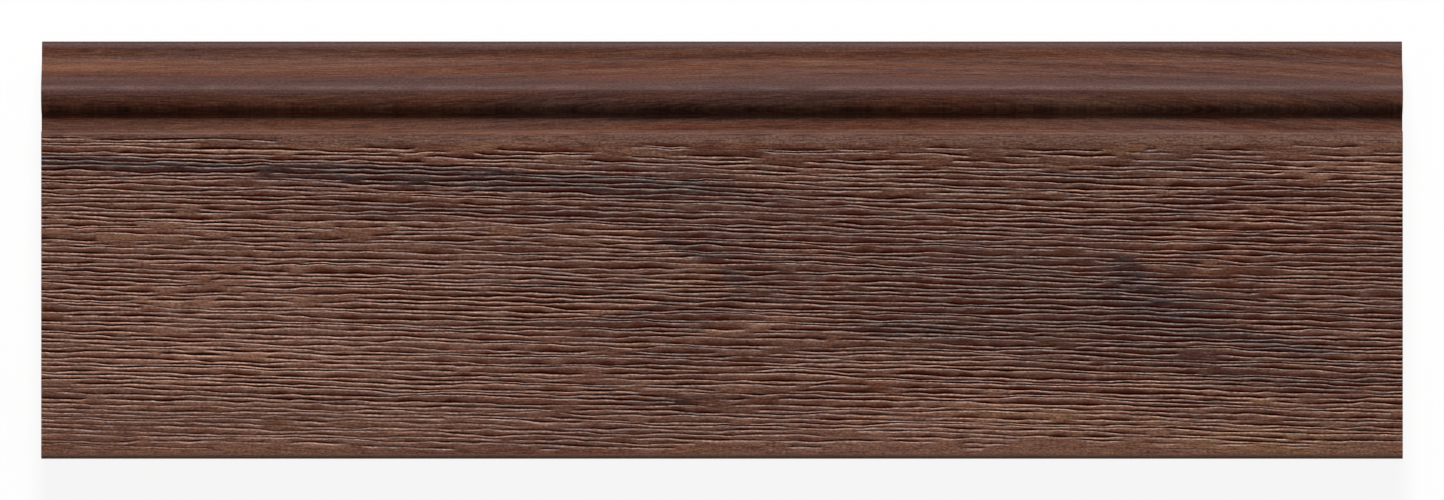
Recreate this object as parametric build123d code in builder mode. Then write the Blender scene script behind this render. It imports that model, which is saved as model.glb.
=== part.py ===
from build123d import *
import os
from math import acos, cos, degrees, radians, sin

# Skirting board: one length of moulded board with an ogee along its top edge, a
# narrow fillet in the shadow under the ogee, and a plain face down to the floor.
# It lies on its back. X runs along the board, +Y points to the moulded top edge,
# +Z points out of the face, and the origin is the centre of the back.
# Heights are measured from the floor edge and thicknesses from the wall face.

# Driving dimensions, in millimetres
board_length = 326.0
board_height = 100.0
face_thickness = 14.0
crest_thickness = 15.0
cap_thickness = 9.8
fillet_thickness = 11.3

# Plain face: rounded at the floor edge and at the arris under the moulding
toe_radius = 1.2
face_top_height = 78.5
arris_radius = 1.1

# Ogee: the nose rolls under to the fillet, a slope that swells a little leads back
# to the hollow, and the hollow runs out into the flat cap
crest_height = 87.6
nose_under_radius = 5.6
nose_over_radius = 2.4
slope_angle_at_nose = 27.0
slope_angle_at_hollow = 43.0
hollow_radius = 3.0
cap_radius = 1.3
inner_corner_radius = 0.3

# Back: three shallow relief channels, so that the board bears on four lands
channel_count = 3
channel_width = 20.0
channel_pitch = 28.0
channel_depth = 1.5
channel_side_angle = 60.0
back_chamfer = 0.8

# Places worked out from the driving dimensions
floor_y = -board_height / 2
top_y = board_height / 2
face_top_y = floor_y + face_top_height
crest_y = floor_y + crest_height

# The nose reaches the fillet where its arc has come in by this much
nose_depth = crest_thickness - fillet_thickness
nose_under_angle = degrees(acos(1 - nose_depth / nose_under_radius))
quirk_y = crest_y - nose_under_radius * sin(radians(nose_under_angle))

# The slope comes in by what the two arcs beside it leave, which sets its radius
cos_at_nose = cos(radians(slope_angle_at_nose))
cos_at_hollow = cos(radians(slope_angle_at_hollow))
nose_over_depth = nose_over_radius * (1 - cos_at_nose)
hollow_depth = hollow_radius * (1 - cos_at_hollow)
slope_depth = crest_thickness - cap_thickness - nose_over_depth - hollow_depth
slope_radius = slope_depth / (cos_at_nose - cos_at_hollow)
slope_swell = slope_angle_at_hollow - slope_angle_at_nose


with BuildPart() as skirting_board:
    with BuildSketch(Plane.YZ) as section:
        with BuildLine():
            floor_edge = Line((floor_y, 0), (floor_y, face_thickness - toe_radius))
            toe = JernArc(floor_edge @ 1, floor_edge % 1, toe_radius, -90)
            face = Line(toe @ 1, (face_top_y - arris_radius, face_thickness))
            arris = JernArc(face @ 1, face % 1, arris_radius, -90)
            ledge = Line(arris @ 1, (face_top_y, fillet_thickness))
            fillet_band = Line(ledge @ 1, (quirk_y, fillet_thickness))
            nose_under = CenterArc(
                (crest_y, crest_thickness - nose_under_radius),
                nose_under_radius,
                90 + nose_under_angle,
                -nose_under_angle,
            )
            nose_over = JernArc(
                nose_under @ 1, (1, 0), nose_over_radius, -slope_angle_at_nose
            )
            slope = JernArc(nose_over @ 1, nose_over % 1, slope_radius, -slope_swell)
            hollow = JernArc(slope @ 1, slope % 1, hollow_radius, slope_angle_at_hollow)
            cap = Line(hollow @ 1, (top_y - cap_radius, cap_thickness))
            cap_round = JernArc(cap @ 1, cap % 1, cap_radius, -90)
            top_edge = Line(cap_round @ 1, (top_y, 0))
            back = Line(top_edge @ 1, floor_edge @ 0)
        make_face()

        # In the sketch's own frame X is the height and Y is the thickness.
        # The two inner corners of the fillet have the cutter's small radius
        inner_corners = section.vertices().filter_by_position(
            Axis.Y, fillet_thickness, fillet_thickness
        )
        fillet(inner_corners, inner_corner_radius)

        # The two corners on the wall side are eased
        back_corners = section.vertices().group_by(Axis.Y)[0]
        chamfer(back_corners, back_chamfer)

        # Relief channels, wider at the mouth than at the bottom
        with GridLocations(channel_pitch, 0, channel_count, 1):
            Trapezoid(
                channel_width,
                channel_depth,
                channel_side_angle,
                align=(Align.CENTER, Align.MIN),
                mode=Mode.SUBTRACT,
            )
    extrude(amount=board_length / 2, both=True)

skirting_board.part.label = "skirting_board"
os.makedirs("parts", exist_ok=True)
export_step(skirting_board.part, "parts/skirting_board.step")
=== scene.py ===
import math

import bpy
import numpy as np
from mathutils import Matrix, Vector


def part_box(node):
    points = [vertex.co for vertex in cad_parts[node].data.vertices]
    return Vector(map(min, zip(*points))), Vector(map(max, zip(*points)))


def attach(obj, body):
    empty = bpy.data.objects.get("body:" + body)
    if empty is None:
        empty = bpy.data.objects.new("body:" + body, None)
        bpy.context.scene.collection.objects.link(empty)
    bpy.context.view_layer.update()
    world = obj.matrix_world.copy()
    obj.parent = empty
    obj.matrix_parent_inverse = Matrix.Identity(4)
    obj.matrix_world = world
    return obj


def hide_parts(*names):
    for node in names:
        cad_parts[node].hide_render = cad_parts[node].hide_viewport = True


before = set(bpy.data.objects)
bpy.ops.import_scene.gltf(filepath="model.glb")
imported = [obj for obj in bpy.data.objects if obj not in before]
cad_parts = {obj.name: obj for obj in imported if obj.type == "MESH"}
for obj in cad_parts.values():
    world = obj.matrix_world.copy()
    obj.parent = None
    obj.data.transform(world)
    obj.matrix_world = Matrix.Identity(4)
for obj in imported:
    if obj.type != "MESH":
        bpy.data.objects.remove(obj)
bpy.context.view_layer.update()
scene = bpy.context.scene
scene.view_settings.view_transform = "Standard"


# The camera: a long lens square above the board, as the photograph is square to its face.
# The board's length takes this share of the picture, and a little paper shows all round.
board_share_of_picture = 1362 / 1444
camera_lens = 400.0
camera_sensor = 36.0

board_low, board_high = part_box("skirting_board")
board_length = board_high.x - board_low.x
picture_width = board_length / board_share_of_picture

camera_data = bpy.data.cameras.new("camera")
camera_data.lens = camera_lens
camera_data.sensor_width = camera_sensor
camera = bpy.data.objects.new("camera", camera_data)
camera.location = (
    (board_low.x + board_high.x) / 2,
    (board_low.y + board_high.y) / 2,
    board_high.z + picture_width * camera_lens / camera_sensor,
)
scene.collection.objects.link(camera)
scene.camera = camera


# The studio: white paper under the board, one broad lamp beyond the moulded edge, low enough
# to rake the ridges and to leave the underside of the ogee in shade, and a plain pale room
# whose light comes mostly from overhead.
lamp_elevation = math.radians(40)
lamp_distance = 2.0
lamp_width = 0.55
lamp_depth = 0.45
lamp_share = 0.82
room_overhead = 0.25
paper_size = 8.0
paper_gap = 0.0002
paper_white = 0.95
paper_glow = 0.90


def shader_tree(name):
    """A new node material, with its output and nothing else."""
    material = bpy.data.materials.new(name)
    material.use_nodes = True
    tree = material.node_tree
    tree.nodes.clear()
    output = tree.nodes.new("ShaderNodeOutputMaterial")
    return material, tree, output


def feed(tree, socket, value):
    """Give a socket its value: a number, a colour or another node's output."""
    if isinstance(value, bpy.types.NodeSocket):
        tree.links.new(value, socket)
    elif isinstance(value, tuple):
        socket.default_value = (*value, 1)
    else:
        socket.default_value = value


def worked(tree, operation, *values):
    """One Math node: the operation on the values, each a number or another node's output."""
    node = tree.nodes.new("ShaderNodeMath")
    node.operation = operation
    for socket, value in zip(node.inputs, values):
        feed(tree, socket, value)
    return node.outputs[0]


def seen_directly(tree):
    """1 for a camera, glossy or transmission ray, and 0 for the diffuse rays that light things."""
    path = tree.nodes.new("ShaderNodeLightPath").outputs
    mirrored = worked(tree, "MAXIMUM", path["Is Glossy Ray"], path["Is Transmission Ray"])
    return worked(tree, "MAXIMUM", path["Is Camera Ray"], mirrored)


paper_material, paper_tree, paper_output = shader_tree("white_paper")
paper_lit = paper_tree.nodes.new("ShaderNodeBsdfDiffuse")
feed(paper_tree, paper_lit.inputs["Color"], (paper_white, paper_white, paper_white))
paper_plain = paper_tree.nodes.new("ShaderNodeEmission")
paper_mix = paper_tree.nodes.new("ShaderNodeMixShader")
paper_amount = worked(paper_tree, "MULTIPLY", seen_directly(paper_tree), paper_glow)
paper_tree.links.new(paper_amount, paper_mix.inputs[0])
paper_tree.links.new(paper_lit.outputs[0], paper_mix.inputs[1])
paper_tree.links.new(paper_plain.outputs[0], paper_mix.inputs[2])
paper_tree.links.new(paper_mix.outputs[0], paper_output.inputs["Surface"])

half_paper = paper_size / 2
paper_mesh = bpy.data.meshes.new("paper")
paper_mesh.from_pydata(
    [
        (-half_paper, -half_paper, -paper_gap),
        (half_paper, -half_paper, -paper_gap),
        (half_paper, half_paper, -paper_gap),
        (-half_paper, half_paper, -paper_gap),
    ],
    [],
    [(0, 1, 2, 3)],
)
paper_mesh.materials.append(paper_material)
paper = bpy.data.objects.new("paper", paper_mesh)
scene.collection.objects.link(paper)

lamp_data = bpy.data.lights.new("lamp", "AREA")
lamp_data.shape = "RECTANGLE"
lamp_data.size = lamp_width
lamp_data.size_y = lamp_depth
# Energy for the lamp alone to light white paper to lamp_share of full white
lamp_data.energy = lamp_share * (math.pi * lamp_distance) ** 2 / math.sin(lamp_elevation)
lamp = bpy.data.objects.new("lamp", lamp_data)
lamp.location = (
    0,
    lamp_distance * math.cos(lamp_elevation),
    lamp_distance * math.sin(lamp_elevation),
)
lamp.rotation_euler = (lamp_elevation - math.pi / 2, 0, 0)
scene.collection.objects.link(lamp)

room = bpy.data.worlds.new("room")
room.use_nodes = True
room_tree = room.node_tree
room_tree.nodes.clear()
room_light = room_tree.nodes.new("ShaderNodeBackground")
feed(room_tree, room_light.inputs["Color"], (1, 1, 1))
room_way = room_tree.nodes.new("ShaderNodeTexCoord")
room_height = room_tree.nodes.new("ShaderNodeSeparateXYZ")
room_tree.links.new(room_way.outputs["Generated"], room_height.inputs[0])
upward = worked(room_tree, "MAXIMUM", room_height.outputs["Z"], 0.0)
room_strength = worked(room_tree, "MULTIPLY", upward, room_overhead)
room_tree.links.new(room_strength, room_light.inputs["Strength"])
room_white = room_tree.nodes.new("ShaderNodeBackground")
feed(room_tree, room_white.inputs["Color"], (1, 1, 1))
room_mix = room_tree.nodes.new("ShaderNodeMixShader")
room_output = room_tree.nodes.new("ShaderNodeOutputWorld")
room_tree.links.new(seen_directly(room_tree), room_mix.inputs[0])
room_tree.links.new(room_light.outputs[0], room_mix.inputs[1])
room_tree.links.new(room_white.outputs[0], room_mix.inputs[2])
room_tree.links.new(room_mix.outputs[0], room_output.inputs["Surface"])
scene.world = room


# The board's section: one moulded length, sawn square at both ends. Its outline starts at the
# floor edge, goes over the face and the ogee, and comes back along the relieved back.
mm = 0.001
face_thickness = 14.0 * mm
cap_thickness = 9.8 * mm
fillet_thickness = 11.3 * mm
toe_radius = 1.2 * mm
arris_radius = 1.1 * mm
face_top_height = 78.5 * mm
crest_height = 87.6 * mm
nose_under_radius = 5.6 * mm
nose_over_radius = 2.4 * mm
slope_angle_at_nose = math.radians(27)
slope_angle_at_hollow = math.radians(43)
hollow_radius = 3.0 * mm
cap_radius = 1.3 * mm
inner_corner_radius = 0.3 * mm
back_chamfer = 0.8 * mm
channel_width = 20.0 * mm
channel_pitch = 28.0 * mm
channel_depth = 1.5 * mm
channel_side_angle = math.radians(60)
foil_turn = 6.0 * mm
least_step = 0.0001 * mm

floor_y = board_low.y
top_y = board_high.y
crest_thickness = board_high.z
face_top_y = floor_y + face_top_height
crest_y = floor_y + crest_height
nose_under_angle = math.acos(1 - (crest_thickness - fillet_thickness) / nose_under_radius)
quirk_y = crest_y - nose_under_radius * math.sin(nose_under_angle)
nose_over_depth = nose_over_radius * (1 - math.cos(slope_angle_at_nose))
hollow_drop = hollow_radius * (1 - math.cos(slope_angle_at_hollow))
slope_radius = (crest_thickness - cap_thickness - nose_over_depth - hollow_drop) / (
    math.cos(slope_angle_at_nose) - math.cos(slope_angle_at_hollow)
)
quarter = math.pi / 2


def arc(centre, radius, start, end, steps):
    """Points centre + radius * (cos a, sin a), for a from start to end in even steps."""
    a = np.linspace(start, end, steps + 1)
    return np.stack([centre[0] + radius * np.cos(a), centre[1] + radius * np.sin(a)], 1)


def chained(*stretches):
    """Stretches of points end to end, each point that two of them share kept once."""
    points = np.concatenate([np.reshape(stretch, (-1, 2)) for stretch in stretches])
    keep = np.ones(len(points), bool)
    keep[1:] = np.abs(np.diff(points, axis=0)).max(1) > least_step
    return points[keep]


toe = chained(
    (floor_y, back_chamfer),
    arc((floor_y + toe_radius, face_thickness - toe_radius), toe_radius, 2 * quarter, quarter, 5),
)

# The slope's arc starts where the nose ends, tilted as it is there, and the hollow follows it
slope_centre = (
    crest_y - (slope_radius - nose_over_radius) * math.sin(slope_angle_at_nose),
    crest_thickness - nose_over_radius
    - (slope_radius - nose_over_radius) * math.cos(slope_angle_at_nose),
)
hollow_y = slope_centre[0] + (slope_radius + hollow_radius) * math.sin(slope_angle_at_hollow)

moulding = chained(
    arc((face_top_y - arris_radius, face_thickness - arris_radius), arris_radius, quarter, 0, 5),
    arc(
        (face_top_y + inner_corner_radius, fillet_thickness + inner_corner_radius),
        inner_corner_radius, 2 * quarter, 3 * quarter, 2,
    ),
    (quirk_y, fillet_thickness),
    arc(
        (crest_y, crest_thickness - nose_under_radius),
        nose_under_radius, quarter + nose_under_angle, quarter, 10,
    ),
    arc(
        (crest_y, crest_thickness - nose_over_radius),
        nose_over_radius, quarter, quarter - slope_angle_at_nose, 4,
    ),
    arc(
        slope_centre,
        slope_radius, quarter - slope_angle_at_nose, quarter - slope_angle_at_hollow, 5,
    ),
    arc(
        (hollow_y, cap_thickness + hollow_radius),
        hollow_radius, 3 * quarter - slope_angle_at_hollow, 3 * quarter, 4,
    ),
    arc((top_y - cap_radius, cap_thickness - cap_radius), cap_radius, quarter, 0, 5),
    (top_y, back_chamfer),
)

channel_slant = channel_depth / math.tan(channel_side_angle)
back_points = [(top_y - back_chamfer, 0), (top_y - foil_turn, 0)]
for channel in (1, 0, -1):
    middle = channel * channel_pitch
    back_points += [
        (middle + channel_width / 2, 0),
        (middle + channel_width / 2 - channel_slant, channel_depth),
        (middle - channel_width / 2 + channel_slant, channel_depth),
        (middle - channel_width / 2, 0),
    ]
back_points += [(floor_y + foil_turn, 0), (floor_y + back_chamfer, 0)]
back = np.array(back_points)


# The pressed face: lengthwise ridges a millimetre apart, rolled into the facing while it is
# warm. Each groove wanders, starts and stops, and the roller misses the margins of the face.
groove_count = 76
column_count = 268
groove_tilt = 0.022
groove_depth = 0.38 * mm
deepest_groove = 0.60 * mm
steep_wall_width = 0.25 * mm
gentle_wall_width = 0.40 * mm
least_gap = 0.46 * mm
parked_gap = 0.02 * mm
shoulder_share = 0.12
ridge_seed = 20
ridge_random = np.random.default_rng(ridge_seed)

column_x = np.linspace(board_low.x, board_high.x, column_count + 1)
face_low_y = floor_y + toe_radius
face_high_y = face_top_y - arris_radius


def smooth_random(x, t, cell_x, cell_t):
    """Heights about 0 over x and t: a leaning lattice of random heights, one each cell_x and
    cell_t, joined by the weights f * f * (3 - 2 * f), where f is the share of the way across."""
    v = (t - t.min())[None, :] / cell_t
    u = (x - x.min())[:, None] / cell_x + 0.618 * v
    lattice = ridge_random.uniform(-1, 1, (int(u.max()) + 2, int(v.max()) + 2))
    i, j = u.astype(int), v.astype(int)
    f, g = u - i, v - j
    f, g = f * f * (3 - 2 * f), g * g * (3 - 2 * g)
    low = lattice[i, j] * (1 - f) + lattice[i + 1, j] * f
    high = lattice[i, j + 1] * (1 - f) + lattice[i + 1, j + 1] * f
    return low * (1 - g) + high * g


def ramp(value, start, end):
    """0 before start, 1 after end, and a smooth step between."""
    f = np.clip((value - start) / (end - start), 0, 1)
    return f * f * (3 - 2 * f)


# The roller ran a little askew, so the grooves drop by groove_tilt from left to right, and come
# in at the arris and leave at the toe. Out there they are parked, closely packed and not pressed.
# They wander by these waves: the size of each, its length, and the number of grooves it moves
groove_waves = (
    (0.50 * mm, 140 * mm, 30), (0.20 * mm, 38 * mm, 5), (0.40 * mm, 48 * mm, 1),
    (0.33 * mm, 13 * mm, 1), (0.15 * mm, 4.5 * mm, 1), (0.10 * mm, 2.5 * mm, 1),
)
groove_number = np.arange(groove_count, dtype=float)
groove_drop = groove_tilt * (board_high.x - board_low.x)
groove_pitch = (face_high_y - face_low_y + groove_drop) / groove_count
valley_y = (
    face_low_y
    + (groove_number[None, :] + 0.5) * groove_pitch
    - groove_tilt * (column_x[:, None] - board_low.x)
)
for wave_size, wave_length, grooves_moved in groove_waves:
    valley_y += wave_size * smooth_random(column_x, groove_number, wave_length, grooves_moved)

# Sorted and kept least_gap apart, and inside the plain face
valley_y = np.sort(valley_y, axis=1) - least_gap * groove_number
valley_y = np.maximum.accumulate(valley_y, axis=1) + least_gap * groove_number
valley_y = np.maximum(valley_y, face_low_y + parked_gap * (1 + groove_number))
valley_y = np.minimum(valley_y, face_high_y - parked_gap * (groove_count - groove_number))
face_ends = np.ones((column_count + 1, 1))
gaps = np.concatenate([face_low_y * face_ends, valley_y, face_high_y * face_ends], axis=1)
gaps = np.diff(gaps, axis=1)

# The roller's margins: bare under the arris, but for the left end, and bare at the toe
arris_margin = 2.3 * mm
arris_margin_sway = 0.4
right_of_left_end = ramp(column_x, -135 * mm, -60 * mm)[:, None]
upper_bare = arris_margin * right_of_left_end
upper_bare = upper_bare * (
    1 + arris_margin_sway * smooth_random(column_x, groove_number, 30 * mm, 9)
)
sparse = right_of_left_end * ramp(valley_y, 19.5 * mm, 24.5 * mm)
margin = 1 - ramp(valley_y + upper_bare, face_high_y - 0.7 * mm, face_high_y + 0.1 * mm)
margin *= ramp(valley_y, face_low_y - 0.4 * mm, face_low_y + 3.2 * mm)

# Where a groove is pressed at all, and how strongly. The strength varies by a share, over a
# length, in so many grooves at once
strength_waves = ((0.25, 60 * mm, 9), (0.30, 9 * mm, 1), (0.55, 2.8 * mm, 1))
pressed = smooth_random(column_x, groove_number, 8 * mm, 1)
pressed += 0.3 * smooth_random(column_x, groove_number, 40 * mm, 4)
strength = ramp(pressed - 2.0 * (1 - margin) - 0.75 * sparse, -0.98, -0.50)
for wave_share, wave_length, grooves_moved in strength_waves:
    strength *= 1 + wave_share * smooth_random(column_x, groove_number, wave_length, grooves_moved)

# The roller pressed less hard on the lower left and along the toe, and least where they meet
left_of_middle = ramp(-column_x, -40 * mm, 140 * mm)[:, None]
strength *= 1.04 - 0.18 * left_of_middle * ramp(-valley_y, 2 * mm, 12 * mm)
strength *= 1 - (0.14 + 0.32 * left_of_middle) * ramp(-valley_y, 34 * mm, 41 * mm)

# Each groove has a steep wall above and a gentle wall below, with one more point halfway down.
# The walls take no more than a share of the gaps beside them, and the ridges between are crowned
steep_share_of_gap = 0.30
gentle_share_of_gap = 0.55
width_sway = 0.30
crown_height = 0.03 * mm
width_share = 1 + width_sway * smooth_random(column_x, groove_number, 9 * mm, 1)
steep_width = np.minimum(steep_wall_width * width_share, steep_share_of_gap * gaps[:, 1:])
gentle_width = np.minimum(gentle_wall_width * width_share, gentle_share_of_gap * gaps[:, :-1])
depth = np.minimum(groove_depth * strength * gentle_width / gentle_wall_width, deepest_groove)
shoulder = depth * shoulder_share
crown = crown_height * (1 + smooth_random(column_x, groove_number, 14 * mm, 1)) * margin

face_y = np.stack(
    [valley_y - gentle_width, valley_y - 0.5 * gentle_width, valley_y, valley_y + steep_width], 2
)
face_z = face_thickness - np.stack([shoulder, 0.5 * depth, depth, shoulder], 2)
face_z -= crown[:, :, None]

# For the colour: painted shade, partly ink, on each groove's bottom and on its steep wall, which
# faces away from the lamp, and painted highlight on its gentle wall, which faces the lamp
nothing = np.zeros_like(strength)
face_groove_shade = np.stack([nothing, nothing, strength, 0.8 * strength], 2)
face_lamp_wall_highlight = np.stack([0.20 * strength, strength, nothing, nothing], 2)
face_y = face_y.reshape(column_count + 1, -1)
face_z = face_z.reshape(column_count + 1, -1)
face_groove_shade = face_groove_shade.reshape(column_count + 1, -1)
face_lamp_wall_highlight = face_lamp_wall_highlight.reshape(column_count + 1, -1)


# The board's body: the section carried along the length, a ring of points at each column, with
# the pressed rows between the toe and the arris. On each sawn end the facing's cut edge shows
# as a thin line round the core.
foil_edge = 0.35 * mm
foil_edge_at_face = 0.55 * mm


def carried(part, axis):
    """One coordinate of the section's fixed points, repeated at each column."""
    return np.repeat(part[None, :, axis], column_count + 1, 0)


ring_y, ring_z = (
    np.concatenate([carried(toe, axis), face, carried(moulding, axis), carried(back, axis)], 1)
    for axis, face in enumerate((face_y, face_z))
)
ring_size = ring_y.shape[1]
points = np.stack([np.repeat(column_x[:, None], ring_size, 1), ring_y, ring_z], 2)
number = np.arange(ring_y.size).reshape(column_count + 1, ring_size)
onward = np.roll(number, -1, axis=1)
quads = np.stack([number[:-1], number[1:], onward[1:], onward[:-1]], 2).reshape(-1, 4)
first_face_row = len(toe)
after_face_row = first_face_row + face_y.shape[1]


def inset(ring):
    """A closed ring of (y, z) points moved into the board: each by foil_edge, square to the line
    between its neighbours, but under the pressed face down to one level below the grooves."""
    run = np.roll(ring, -1, axis=0) - np.roll(ring, 1, axis=0)
    run /= np.linalg.norm(run, axis=1, keepdims=True)
    moved = ring + foil_edge * np.stack([run[:, 1], -run[:, 0]], 1)
    moved[first_face_row:after_face_row, 0] = ring[first_face_row:after_face_row, 0]
    moved[first_face_row:after_face_row, 1] = face_thickness - foil_edge_at_face
    return moved


end_points = []
end_quads = []
end_faces = []
for column, turn in ((0, 1), (column_count, -1)):
    inner_ring = inset(np.stack([ring_y[column], ring_z[column]], 1))
    first_number = number.size + ring_size * len(end_points)
    inner = np.arange(first_number, first_number + ring_size)
    outer = number[column]
    strip = np.stack([outer, np.roll(outer, -1), np.roll(inner, -1), inner], 1)
    end_points.append(np.column_stack([np.full(ring_size, column_x[column]), inner_ring]))
    end_quads.append(strip[:, ::turn])
    end_faces.append(inner[::turn].tolist())

board_mesh = bpy.data.meshes.new("board")
board_mesh.from_pydata(
    np.concatenate([points.reshape(-1, 3), *end_points]).tolist(),
    [],
    np.concatenate([quads, *end_quads]).tolist() + end_faces,
)

# The groove values carry painted shade, partly ink, and the ridge values carry painted highlight
for attribute_name, face_values in (("groove", face_groove_shade), ("ridge", face_lamp_wall_highlight)):
    values = np.zeros((column_count + 3, ring_size), np.float32)
    values[:column_count + 1, first_face_row:after_face_row] = face_values
    attribute = board_mesh.attributes.new(attribute_name, "FLOAT", "POINT")
    attribute.data.foreach_set("value", values.ravel())

# Hard edges: the bottom of each groove, the corners of the back, and the sawn ends
points_per_groove = 4
bottom_of_groove = 2
hard_rows = np.zeros(ring_size, bool)
hard_rows[first_face_row + bottom_of_groove:after_face_row:points_per_groove] = True
hard_rows[after_face_row + len(moulding) - 1:] = True
hard_rows[0] = True
edge_points = np.empty(len(board_mesh.edges) * 2, np.int32)
board_mesh.edges.foreach_get("vertices", edge_points)
edge_points = edge_points.reshape(-1, 2)
edge_row = edge_points % ring_size
edge_column = edge_points // ring_size
along = edge_row[:, 0] == edge_row[:, 1]
at_end = (edge_column[:, 0] == edge_column[:, 1]) & np.isin(edge_column[:, 0], [0, column_count])
hard = (along & hard_rows[edge_row[:, 0]]) | at_end
hard_attribute = board_mesh.attributes.new("sharp_edge", "BOOLEAN", "EDGE")
hard_attribute.data.foreach_set("value", hard)

board = bpy.data.objects.new("board", board_mesh)
scene.collection.objects.link(board)


# The facing: a walnut print on a thin satin foil, wrapped round the front and both long edges
# and turned a few millimetres onto the back. The pressed face takes the light on its ridges.
def swing(tree, noise, width):
    """Noise from 0 to 1 made a swing about 0: (noise - 0.5) * width."""
    return worked(tree, "MULTIPLY", worked(tree, "SUBTRACT", noise, 0.5), width)


def eased(tree, value, start, end, low, high):
    """low before start, high after end, and a smooth step between."""
    node = tree.nodes.new("ShaderNodeMapRange")
    node.interpolation_type = "SMOOTHSTEP"
    for name, setting in (
        ("Value", value), ("From Min", start), ("From Max", end), ("To Min", low), ("To Max", high),
    ):
        feed(tree, node.inputs[name], setting)
    return node.outputs["Result"]


def streaks(tree, along, across, length, width, detail, seed):
    """Noise from 0 to 1, drawn out along the grain: a cell is length by width, in millimetres."""
    place = tree.nodes.new("ShaderNodeCombineXYZ")
    tree.links.new(worked(tree, "DIVIDE", along, length), place.inputs["X"])
    tree.links.new(worked(tree, "DIVIDE", across, width), place.inputs["Y"])
    place.inputs["Z"].default_value = seed
    noise = tree.nodes.new("ShaderNodeTexNoise")
    noise.inputs["Scale"].default_value = 1.0
    noise.inputs["Detail"].default_value = detail
    noise.inputs["Roughness"].default_value = 0.55
    tree.links.new(place.outputs[0], noise.inputs["Vector"])
    return noise.outputs[0]


def tinted(tree, amount, under, over):
    """Colour mixed by amount: under * (1 - amount) + over * amount. Each may be a node's output."""
    node = tree.nodes.new("ShaderNodeMix")
    node.data_type = "RGBA"
    feed(tree, node.inputs["Factor"], amount)
    feed(tree, node.inputs[6], under)
    feed(tree, node.inputs[7], over)
    return node.outputs[2]


def marks(tree, places):
    """Soft lengthwise patches added up. Each is (x, y, half length, half height, turn, strength),
    in millimetres and degrees: strength at its middle, falling smoothly to 0 at its outline."""
    coordinates = tree.nodes.new("ShaderNodeTexCoord").outputs["Object"]
    total = 0.0
    for x, y, half_length, half_height, turn, patch_strength in places:
        mapping = tree.nodes.new("ShaderNodeMapping")
        mapping.vector_type = "TEXTURE"
        mapping.inputs["Location"].default_value = (x * mm, y * mm, face_thickness)
        mapping.inputs["Rotation"].default_value = (0, 0, math.radians(turn))
        mapping.inputs["Scale"].default_value = (half_length * mm, half_height * mm, 1)
        tree.links.new(coordinates, mapping.inputs["Vector"])
        length = tree.nodes.new("ShaderNodeVectorMath")
        length.operation = "LENGTH"
        tree.links.new(mapping.outputs[0], length.inputs[0])
        patch = eased(tree, length.outputs["Value"], 0, 1, patch_strength, 0)
        total = worked(tree, "ADD", patch, total)
    return total


# Browns of the print, each mixed for a white light of 1: ground, shade, tan, red and rose
pressed_browns = (
    (0.110, 0.045, 0.028), (0.050, 0.017, 0.010), (0.205, 0.099, 0.060), (0.118, 0.039, 0.021),
    (0.138, 0.064, 0.046),
)
smooth_browns = (
    (0.090, 0.037, 0.024), (0.040, 0.016, 0.012), (0.160, 0.074, 0.046), (0.114, 0.038, 0.022),
    (0.104, 0.049, 0.041),
)
walnut_ink = (0.019, 0.012, 0.013)
walnut_ochre = (0.170, 0.085, 0.036)


def walnut_print(tree, along, across, figure, browns, hair_length, hairs, rings=0.0):
    """The printed grain's colour, in streaks of five browns, and three of its noises: the broad
    streaks follow the figure, and the fine ones keep to the board's length."""
    ground, shade, tan, red, rose = browns
    broad = streaks(tree, along, figure, 120, 7.0, 2, 3.1)
    medium = streaks(tree, along, figure, 55, 1.7, 3, 7.7)
    fine = streaks(tree, along, across, 20, 0.42, 2, 11.3)
    hair = streaks(tree, along, across, hair_length, 0.16, 2, 23.3)
    hue = streaks(tree, along, figure, 70, 3.2, 2, 17.9)
    tone = worked(tree, "MULTIPLY", broad, 0.9)
    tone = worked(tree, "ADD", tone, worked(tree, "MULTIPLY", medium, 0.9))
    tone = worked(tree, "ADD", tone, worked(tree, "MULTIPLY", fine, 0.55))
    tone = worked(tree, "ADD", tone, swing(tree, hair, hairs))
    tone = worked(tree, "ADD", tone, rings)
    colour = tinted(tree, eased(tree, hue, 0.46, 0.64, 0.0, 0.75), ground, rose)
    colour = tinted(tree, eased(tree, hue, 0.36, 0.50, 0.75, 0.0), colour, red)
    colour = tinted(tree, eased(tree, tone, 0.82, 1.15, 0.85, 0.0), colour, shade)
    colour = tinted(tree, eased(tree, tone, 1.18, 1.60, 0.0, 0.88), colour, tan)
    return colour, {"medium": medium, "fine": fine, "hair": hair}


def scaled(tree, colour, factor):
    """Colour made lighter or darker: colour * factor."""
    node = tree.nodes.new("ShaderNodeVectorMath")
    node.operation = "SCALE"
    feed(tree, node.inputs[0], colour)
    feed(tree, node.inputs["Scale"], factor)
    return node.outputs[0]


def grained(tree, colour, along, across, contrast):
    """Colour with the print's fine grain: scaled by 1 + contrast * (noise - 0.5)."""
    grain = swing(tree, streaks(tree, along, across, 0.8, 0.40, 2, 71.0), contrast)
    return scaled(tree, colour, worked(tree, "ADD", grain, 1.0))


def board_places(tree):
    """The place along X, Y and Z in millimetres, from the Object coordinates in metres."""
    texture = tree.nodes.new("ShaderNodeTexCoord")
    separate = tree.nodes.new("ShaderNodeSeparateXYZ")
    tree.links.new(texture.outputs["Object"], separate.inputs[0])
    return [worked(tree, "MULTIPLY", separate.outputs[axis], 1 / mm) for axis in "XYZ"]


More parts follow.
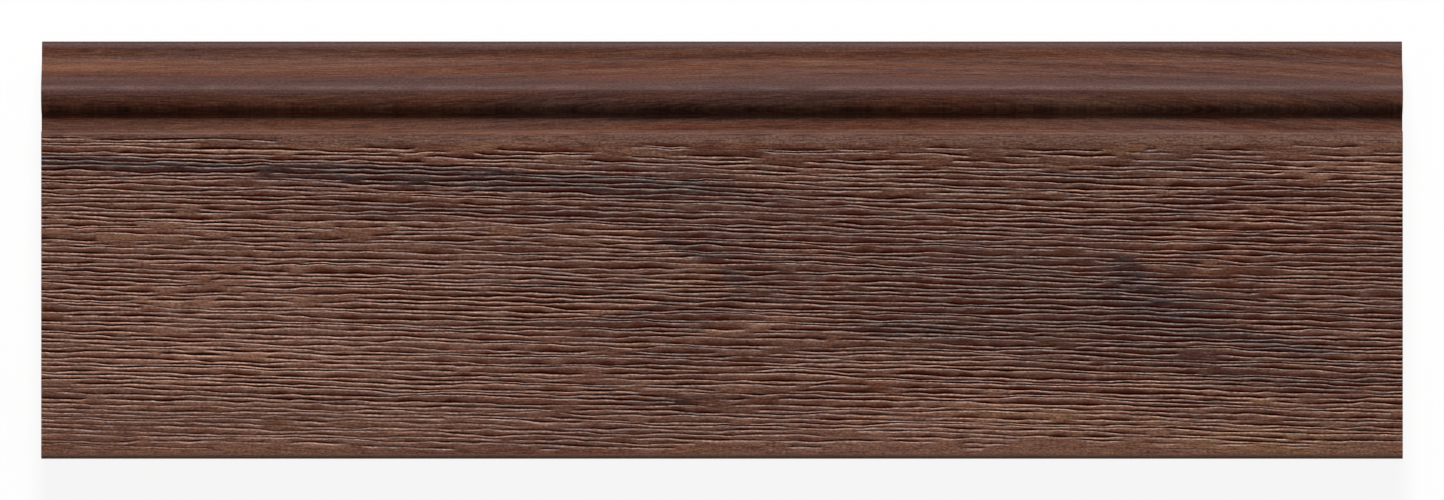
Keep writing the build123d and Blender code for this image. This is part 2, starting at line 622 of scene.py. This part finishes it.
def surfaced(tree, output, colour, height, roughness, gloss, bump_distance, bump_strength=0.6):
    """The surface over a colour: its roughness and gloss, and a fine bump from a height."""
    shader = tree.nodes.new("ShaderNodeBsdfPrincipled")
    feed(tree, shader.inputs["Base Color"], colour)
    shader.inputs["Roughness"].default_value = roughness
    shader.inputs["Specular IOR Level"].default_value = gloss
    bump = tree.nodes.new("ShaderNodeBump")
    bump.inputs["Strength"].default_value = bump_strength
    bump.inputs["Distance"].default_value = bump_distance
    feed(tree, bump.inputs["Height"], height)
    tree.links.new(bump.outputs[0], shader.inputs["Normal"])
    tree.links.new(shader.outputs[0], output.inputs["Surface"])


# Pressed face: the figure is a sawn cone of growth rings. The heart lies under the middle of
# the face, and deepens towards the right, so the rings close in two nested flames.
heart_y = -5.6
heart_depth = 8.5
heart_fall = 13.5
heart_rise = 16.0
ring_wander = 7.0
ring_contrast = 2.1

pressed_material, tree, output = shader_tree("walnut_pressed")
place_x, place_y = board_places(tree)[:2]
wander = swing(tree, streaks(tree, place_x, place_y, 22, 7, 2, 31.0), ring_wander)
level_y = worked(tree, "ADD", place_y, worked(tree, "MULTIPLY", place_x, groove_tilt))
from_heart = worked(tree, "ADD", worked(tree, "SUBTRACT", level_y, heart_y), wander)
depth_here = worked(
    tree, "ADD",
    eased(tree, place_x, -40, 60, heart_depth, heart_depth + heart_fall),
    eased(tree, place_x, 75, 150, 0, -heart_rise),
)
ring = worked(
    tree, "SQRT",
    worked(
        tree, "ADD", worked(tree, "POWER", from_heart, 2.0), worked(tree, "POWER", depth_here, 2.0)
    ),
)

# Tone of the rings by their distance from the heart, in millimetres
ring_tones = (
    (0.0, 0.50), (8.0, 0.50), (9.4, 0.42), (10.6, 0.49), (12.0, 0.53), (13.6, 0.56),
    (14.8, 0.34), (16.4, 0.38), (18.5, 0.50), (21.5, 0.44), (23.5, 0.38), (26.0, 0.52),
    (29.5, 0.60), (32.0, 0.42), (35.0, 0.50), (38.0, 0.58), (44.0, 0.50),
)
ring_span = 50.0
ring_node = tree.nodes.new("ShaderNodeFloatCurve")
curve = ring_node.mapping.curves[0]
curve.points[0].location = (0, ring_tones[0][1])
curve.points[1].location = (1, ring_tones[-1][1])
for distance, tone in ring_tones[1:]:
    curve.points.new(distance / ring_span, tone)
ring_node.mapping.update()
tree.links.new(worked(tree, "DIVIDE", ring, ring_span), ring_node.inputs["Value"])
ring_tone = swing(tree, ring_node.outputs[0], ring_contrast)

colour, grain = walnut_print(
    tree, place_x, level_y, ring, pressed_browns, hair_length=2.2, hairs=1.3, rings=ring_tone
)

# Where the figure is light or dark as a whole, and where single streaks of another brown or of
# the dark ink lie, each as marks() takes them
light_brown = (0.214, 0.103, 0.066)
dark_brown = (0.052, 0.023, 0.016)
light_areas = (
    (-125, -22, 108, 38, 4, 0.68), (-155, 10, 75, 20, 0, 0.42), (60, -38, 60, 12, 4, 0.35),
    (90, -48, 150, 12, 0, 0.45), (155, 24, 36, 14, 0, 0.40), (-110, -26, 70, 6, 0, 0.38),
    (-110, -48, 70, 7, 0, 0.35), (72, 3, 36, 7, -14, 0.25), (40, -27, 44, 5, 10, 0.22),
    (16, -19, 26, 6, 0, 0.40), (80, -40, 26, 3.6, -3, 0.60),
)
dark_areas = (
    (92, -15, 70, 22, -10, 1.08), (-2, 14, 95, 13, -3, 0.45), (-5, -2, 80, 18, 0, 0.30),
    (82, 19, 68, 20, 0, 0.55), (-15, -36, 50, 9, 0, 0.20), (60, -22, 52, 13, -4, 0.35),
    (-112, -40, 75, 4, 0, 0.45), (152, -9, 26, 8, 0, 0.45), (-33, -10, 44, 7, 0, 0.35),
    (-12, 20, 34, 5, 0, 0.40), (116, 20, 30, 5, 0, 0.40), (-28, -45, 30, 5, 0, 0.35),
)
tan_marks = (
    (69, -39.5, 42, 4.8, -4, 1.0), (129, -43.5, 42, 5.0, 0, 0.95), (-113, -30.7, 55, 3.2, 0, 0.8),
    (0, -19.5, 30, 2.6, 11, 0.7), (-60, -31.5, 40, 2.6, 3, 0.5), (-140, -12, 24, 4, 0, 0.4),
)
ochre_marks = (
    (-9, -8, 11, 2.2, 0, 0.55), (-21, -22.8, 10, 1.6, 6, 0.8), (52, -9, 12, 1.6, 4, 0.4),
    (84, -40.5, 44, 4.0, -3, 0.65), (136, -45, 40, 5.0, 0, 0.75),
)
red_marks = (
    (-107, 10.6, 30, 2.0, 0, 0.9), (54, 6.3, 18, 1.2, 0, 1.0), (-125, -5, 26, 3.2, 0, 0.7),
    (-45, -12, 18, 2.0, 0, 0.6), (152, -6, 13, 5, 0, 0.8), (30, 1, 26, 2.4, -4, 0.5),
)
ink_marks = (
    (-80, 17.9, 108, 3.8, -2.7, 1.15), (-52, 16.8, 68, 3.6, -2.8, 1.35),
    (-16, 14.9, 32, 3.2, -2.0, 1.45), (-152, 20.9, 44, 2.8, -2.2, 1.0),
    (-7, 0.2, 18, 3.4, -12, 0.95), (3, -6.5, 8, 5, 0, 0.90), (-14, -13.3, 20, 2.4, 14, 0.60),
    (103, -12.8, 30, 11, -12, 1.15), (96, -3, 12, 6, -30, 0.8), (133, -23, 30, 4.6, -13, 0.75),
    (50, -19.3, 38, 4.6, -4, 0.55), (-13, -36.2, 20, 2.0, 4, 0.75), (-50, -37, 30, 1.5, 0, 0.5),
    (131, -3, 4, 9, 8, 0.5), (40, 14, 40, 4, -2, 0.35), (75, 5, 26, 4, 0, 0.4),
)
colour = tinted(tree, marks(tree, light_areas), colour, light_brown)
colour = tinted(tree, marks(tree, dark_areas), colour, dark_brown)

# A paler band runs under the arris, but for the left end
arris_pale = (0.190, 0.115, 0.094)
under_arris = worked(
    tree, "MULTIPLY",
    eased(tree, place_y, 24.9, 26.3, 0.0, 0.42),
    eased(tree, place_x, -135, -60, 0.25, 1.0),
)
colour = tinted(tree, under_arris, colour, arris_pale)

# The marks break up into streaks, the brown ones along the figure and the ink along the grooves
ink_lines = streaks(tree, place_x, level_y, 34, 0.50, 2, 47.0)
brown_parting = worked(
    tree, "ADD", swing(tree, grain["medium"], 1.5), swing(tree, grain["fine"], 1.1)
)
ink_parting = worked(tree, "ADD", swing(tree, grain["medium"], 1.2), swing(tree, ink_lines, 2.4))
for tint, places, parting, start, end, most in (
    (pressed_browns[2], tan_marks, brown_parting, 0.10, 0.95, 0.85),
    (walnut_ochre, ochre_marks, brown_parting, 0.10, 0.95, 0.85),
    (pressed_browns[3], red_marks, brown_parting, 0.10, 0.95, 0.80),
    (walnut_ink, ink_marks, ink_parting, 0.25, 0.80, 0.92),
):
    patches = worked(tree, "ADD", marks(tree, places), parting)
    colour = tinted(tree, eased(tree, patches, start, end, 0.0, most), colour, tint)

# Fine lines which wriggle along the grooves, from the noise that is also the fine bump's height:
# darker where the bump is low and paler where it is high, painted shade and highlight of that small
# relief
line_shade = (0.050, 0.012, 0.007)
line_light = (0.210, 0.118, 0.090)
wriggle = swing(tree, streaks(tree, place_x, place_y, 2.2, 1.2, 1, 43.0), 0.7)
lines = streaks(tree, place_x, worked(tree, "ADD", level_y, wriggle), 5.0, 0.42, 2, 41.0)
colour = tinted(tree, eased(tree, lines, 0.34, 0.50, 0.60, 0.0), colour, line_shade)
colour = tinted(tree, eased(tree, lines, 0.52, 0.68, 0.0, 0.42), colour, line_light)

# Painted shade, partly ink in the grooves, darkens each groove's bottom and its steep wall, which
# faces away from the lamp, and a painted highlight lightens its gentle wall, which faces the lamp.
# The highlight colour is half the print made lighter and half the plain foil
highlight_print_scale = 2.7
highlight_foil = (0.356, 0.274, 0.238)
groove_ink_and_shade = (0.041, 0.005, 0.001)
groove_shade_attribute = tree.nodes.new("ShaderNodeAttribute")
groove_shade_attribute.attribute_name = "groove"
highlight_attribute = tree.nodes.new("ShaderNodeAttribute")
highlight_attribute.attribute_name = "ridge"
# Painted shade, partly ink: the groove bottoms and the steep walls away from the lamp
groove_shade_amount = worked(tree, "MULTIPLY", groove_shade_attribute.outputs["Fac"], 1.02)
groove_shade_amount = worked(tree, "MINIMUM", groove_shade_amount, 0.98)
# Painted highlight on the gentle walls that face the lamp, broken up by the fine lines
highlight_amount = worked(
    tree, "MULTIPLY",
    worked(tree, "MULTIPLY", highlight_attribute.outputs["Fac"], 0.90),
    eased(tree, lines, 0.36, 0.60, 0.55, 1.20),
)
highlight_amount = worked(tree, "MINIMUM", highlight_amount, 0.95)
# The painted highlight's colour
painted_highlight_colour = tinted(tree, 0.5, scaled(tree, colour, highlight_print_scale), highlight_foil)
colour = tinted(tree, highlight_amount, colour, painted_highlight_colour)
colour = tinted(tree, groove_shade_amount, colour, groove_ink_and_shade)
colour = grained(tree, colour, place_x, place_y, contrast=2.4)
surfaced(tree, output, colour, lines, roughness=0.30, gloss=0.06, bump_distance=0.20 * mm)

# Smooth facing of the moulding and edges: its grain bends down towards both ends, and goes on
# round the long edges, where the height on the print is the way down from the crest
bend_middle = 30.0
right_bend = 7.5
right_bend_reach = 125.0
right_bend_power = 2.2
left_bend = 4.5
left_bend_reach = 140.0

smooth_material, tree, output = shader_tree("walnut_smooth")
place_x, place_y, place_z = board_places(tree)
past_middle = worked(tree, "SUBTRACT", place_x, bend_middle)
past_middle = worked(tree, "DIVIDE", past_middle, right_bend_reach)
past_middle = worked(tree, "MAXIMUM", past_middle, 0.0)
bend = worked(
    tree, "ADD",
    worked(tree, "MULTIPLY", worked(tree, "POWER", past_middle, right_bend_power), right_bend),
    eased(tree, place_x, bend_middle - left_bend_reach, bend_middle, left_bend, 0.0),
)
way_down = worked(tree, "SUBTRACT", crest_thickness / mm, place_z)
way_down = worked(tree, "MULTIPLY", worked(tree, "SIGN", place_y), way_down)
lie = worked(tree, "ADD", worked(tree, "ADD", place_y, bend), way_down)
colour, grain = walnut_print(
    tree, place_x, lie, lie, smooth_browns, hair_length=4.0, hairs=1.8
)

# A dusky band runs above the nose
band_y = 39.4
band_shade = (0.066, 0.034, 0.032)
off_band = worked(tree, "ABSOLUTE", worked(tree, "SUBTRACT", place_y, band_y))
band = worked(
    tree, "MULTIPLY",
    eased(tree, off_band, 0.8, 3.2, 0.9, 0.0),
    eased(tree, grain["hair"], 0.34, 0.62, 0.25, 1.0),
)
colour = tinted(tree, band, colour, band_shade)

# Painted highlights on the nose and the arris, and painted light on the toe's round, which faces
# away from the lamp, here more and there less
nose_y = 38.9
arris_y = 27.7
toe_y = -49.2
edge_highlight_colour = (0.215, 0.132, 0.112)
off_nose = worked(tree, "ABSOLUTE", worked(tree, "SUBTRACT", place_y, nose_y))
off_nose = worked(tree, "ADD", off_nose, 0.1)
off_arris = worked(tree, "ABSOLUTE", worked(tree, "SUBTRACT", place_y, arris_y))
off_highlit_edges = worked(tree, "MINIMUM", off_nose, off_arris)
off_highlit_edges = worked(tree, "MINIMUM", off_highlit_edges, worked(tree, "SUBTRACT", place_y, toe_y))
highlight_patches = streaks(tree, place_x, place_y, 16.0, 6.0, 3, 61.0)
edge_highlight_amount = worked(
    tree, "MULTIPLY",
    eased(tree, off_highlit_edges, 0.1, 1.0, 0.38, 0.0),
    eased(tree, highlight_patches, 0.36, 0.58, 0.15, 1.0),
)
edge_highlight_amount = worked(tree, "MULTIPLY", edge_highlight_amount, eased(tree, grain["hair"], 0.38, 0.66, 0.45, 1.0))
colour = tinted(tree, edge_highlight_amount, colour, edge_highlight_colour)

# Painted light on the toe's round, which faces away from the lamp, and round the top edge a painted
# grey sheen, then darker towards the very top
toe_painted_light = (0.200, 0.110, 0.080)
top_painted_sheen = (0.120, 0.066, 0.062)
top_shade = (0.040, 0.020, 0.017)
colour = tinted(tree, eased(tree, place_y, -49.3, -48.3, 0.50, 0.0), colour, toe_painted_light)
colour = tinted(tree, eased(tree, place_y, 47.9, 48.8, 0.0, 0.65), colour, top_painted_sheen)
colour = tinted(tree, eased(tree, place_y, 48.9, 49.8, 0.0, 0.60), colour, top_shade)
colour = grained(tree, colour, place_x, lie, contrast=1.4)
surfaced(tree, output, colour, grain["fine"], roughness=0.42, gloss=0.03, bump_distance=0.04 * mm)


# The core: fine brown fibreboard, bare on the sawn ends and on the back between the turned
# edges of the foil. The saw leaves faint upright strokes on the ends, and the back is sanded.
core_brown = (0.240, 0.140, 0.078)
core_pale = (0.370, 0.240, 0.145)
core_fibre = (0.105, 0.055, 0.030)
core_skin = (0.140, 0.078, 0.042)


def fibreboard(name, along, across, stroke_length, stroke_width, skin_low, skin_high, stroke_depth):
    """Fibre specks over a ground of brown, darker towards the pressed skins of the sheet, with
    the strokes of the saw or the sander along one axis."""
    material, tree, output = shader_tree(name)
    place = dict(zip("XYZ", board_places(tree)))
    clumps = streaks(tree, place[along], place[across], 2.6, 1.8, 5, 2.0)
    specks = streaks(tree, place[along], place[across], 0.45, 0.16, 3, 9.0)
    strokes = streaks(tree, place[along], place[across], stroke_length, stroke_width, 2, 5.0)
    skin = worked(
        tree, "MAXIMUM",
        eased(tree, place["Z"], skin_low, skin_low + 1.2, 0.6, 0.0),
        eased(tree, place["Z"], skin_high - 1.6, skin_high, 0.0, 0.6),
    )
    colour = tinted(tree, eased(tree, clumps, 0.36, 0.62, 0.0, 0.85), core_brown, core_pale)
    colour = tinted(tree, eased(tree, specks, 0.56, 0.74, 0.0, 0.65), colour, core_fibre)
    colour = tinted(tree, eased(tree, strokes, 0.50, 0.75, 0.0, 0.35), colour, core_skin)
    colour = tinted(tree, skin, colour, core_skin)
    height = worked(
        tree, "ADD",
        worked(tree, "MULTIPLY", specks, 0.5),
        worked(tree, "MULTIPLY", strokes, 0.5),
    )
    surfaced(
        tree, output, colour, height,
        roughness=0.85, gloss=0.2, bump_distance=stroke_depth, bump_strength=0.7,
    )
    return material


sawn_material = fibreboard(
    "fibreboard_sawn", "Z", "Y", stroke_length=9.0, stroke_width=0.35,
    skin_low=-0.5, skin_high=14.5, stroke_depth=0.12 * mm,
)
back_material = fibreboard(
    "fibreboard_back", "X", "Y", stroke_length=60.0, stroke_width=0.30,
    skin_low=-1.8, skin_high=90.0, stroke_depth=0.05 * mm,
)
# Where each material lies. On the sawn ends the cut edge of the facing is as dark as its front
pressed_slot, smooth_slot, sawn_slot, back_slot = range(4)
for material in (pressed_material, smooth_material, sawn_material, back_material):
    board_mesh.materials.append(material)
row_slot = np.full(ring_size, smooth_slot, np.int32)
row_slot[first_face_row - 1:after_face_row] = pressed_slot
row_slot[after_face_row + len(moulding) + 1:ring_size - 2] = back_slot
end_slot = np.where(row_slot == back_slot, sawn_slot, smooth_slot)
board_mesh.polygons.foreach_set(
    "material_index",
    np.concatenate([np.tile(row_slot, column_count), end_slot, end_slot, [sawn_slot, sawn_slot]]),
)
board_mesh.update()

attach(board, "root")
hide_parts("skirting_board")
